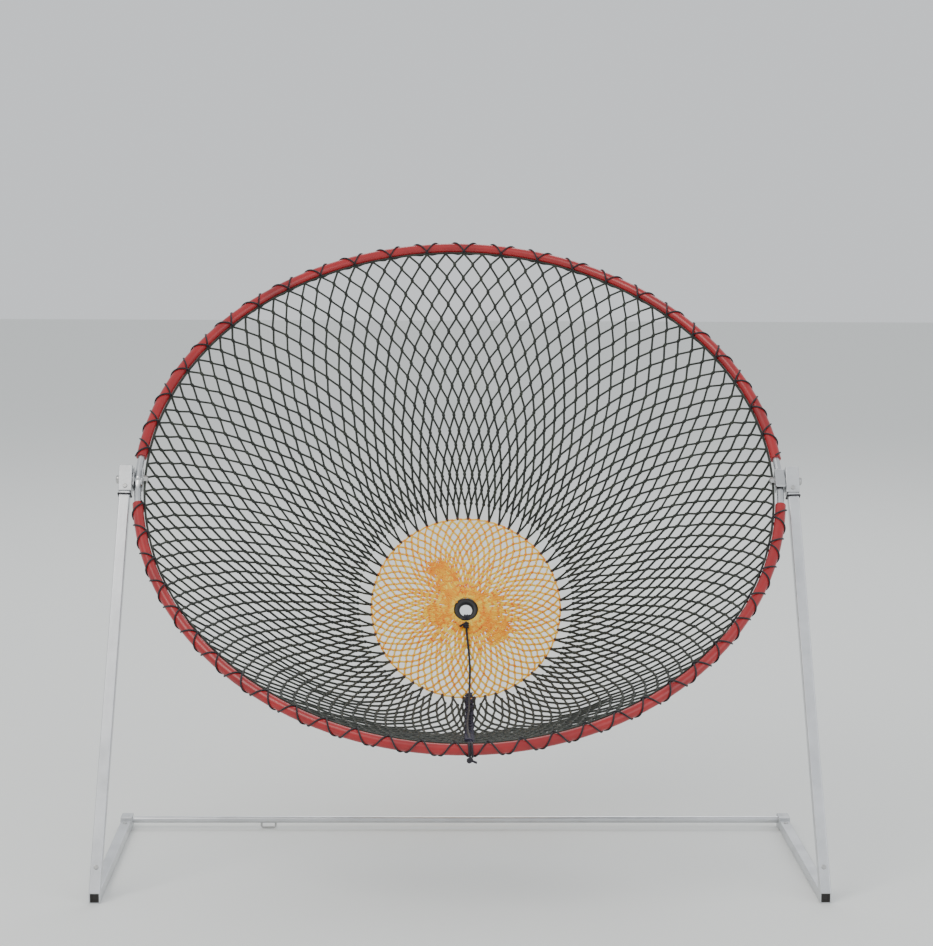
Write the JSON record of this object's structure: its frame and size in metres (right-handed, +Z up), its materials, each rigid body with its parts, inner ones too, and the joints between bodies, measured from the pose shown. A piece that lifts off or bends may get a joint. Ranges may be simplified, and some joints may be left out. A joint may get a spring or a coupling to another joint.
{
  "type": "golf chipping net",
  "caption": "Round hoop with a hanging net bag and a central target net, tilting between two leaning uprights on a low three-sided tube base.",
  "frame": {"origin": "on the ground under the middle of the hoop's tilt axis, which is the bottom centre of the box round the part without its tie cord", "axes": "+X to the player's right along the tilt axis, +Y away from the player, +Z up"},
  "size_m": [0.992, 0.664, 0.8648],
  "materials": {
    "frame_tube": "mill finish, drawn, lightly scuffed",
    "round_rod": "drawn round rod, satin",
    "fitting": "cast and machined, satin",
    "fastener": "zinc plated",
    "plug": "moulded black",
    "bush": "natural nylon",
    "sleeve": "smooth red vinyl hose",
    "cord": "braided black cord",
    "black_net": "knotless dark twine netting, diamond mesh",
    "orange_net": "bright orange twine netting, diamond mesh",
    "ring": "moulded black"
  },
  "bodies": {
    "stand": {"right_base_leg": "frame_tube", "left_base_leg": "frame_tube", "right_rear_corner": "fitting", "left_rear_corner": "fitting", "rear_bar": "round_rod", "rear_bar_set_screws": "fastener", "rear_corner_rivets": "fastener", "front_leg_plugs": "plug", "right_upright": "frame_tube", "left_upright": "frame_tube", "right_front_corner": "fitting", "left_front_corner": "fitting", "foot_bolts": "fastener", "upright_rivets": "fastener", "right_upright_head": "fitting", "left_upright_head": "fitting", "pivot_bushes": "bush", "head_rivets": "fastener", "upright_cord_bands": "cord", "rear_bar_clip": "fastener"},
    "hoop": {"right_hoop_rod": "round_rod", "left_hoop_rod": "round_rod", "upper_rod_joiner": "round_rod", "lower_rod_joiner": "round_rod", "upper_sleeve": "sleeve", "lower_sleeve": "sleeve", "hoop_lacing": "cord", "right_hoop_bracket": "fitting", "left_hoop_bracket": "fitting", "pivot_bolts": "fastener", "pivot_nuts": "fastener", "pivot_washers": "fastener", "upper_right_net": "black_net", "upper_left_net": "black_net", "lower_right_net": "black_net", "lower_left_net": "black_net", "target_net": "orange_net", "centre_ring": "ring", "tie_cord": "cord", "upper_tie_knot": "cord", "lower_tie_knot": "cord"}
  },
  "joints": [
    {"name": "hoop_tilt", "type": "hinge", "parent": "stand", "child": "hoop", "pos_m": [0, 0, 0.54], "axis": [1, 0, 0], "range_deg": [-44, 45]}
  ]
}
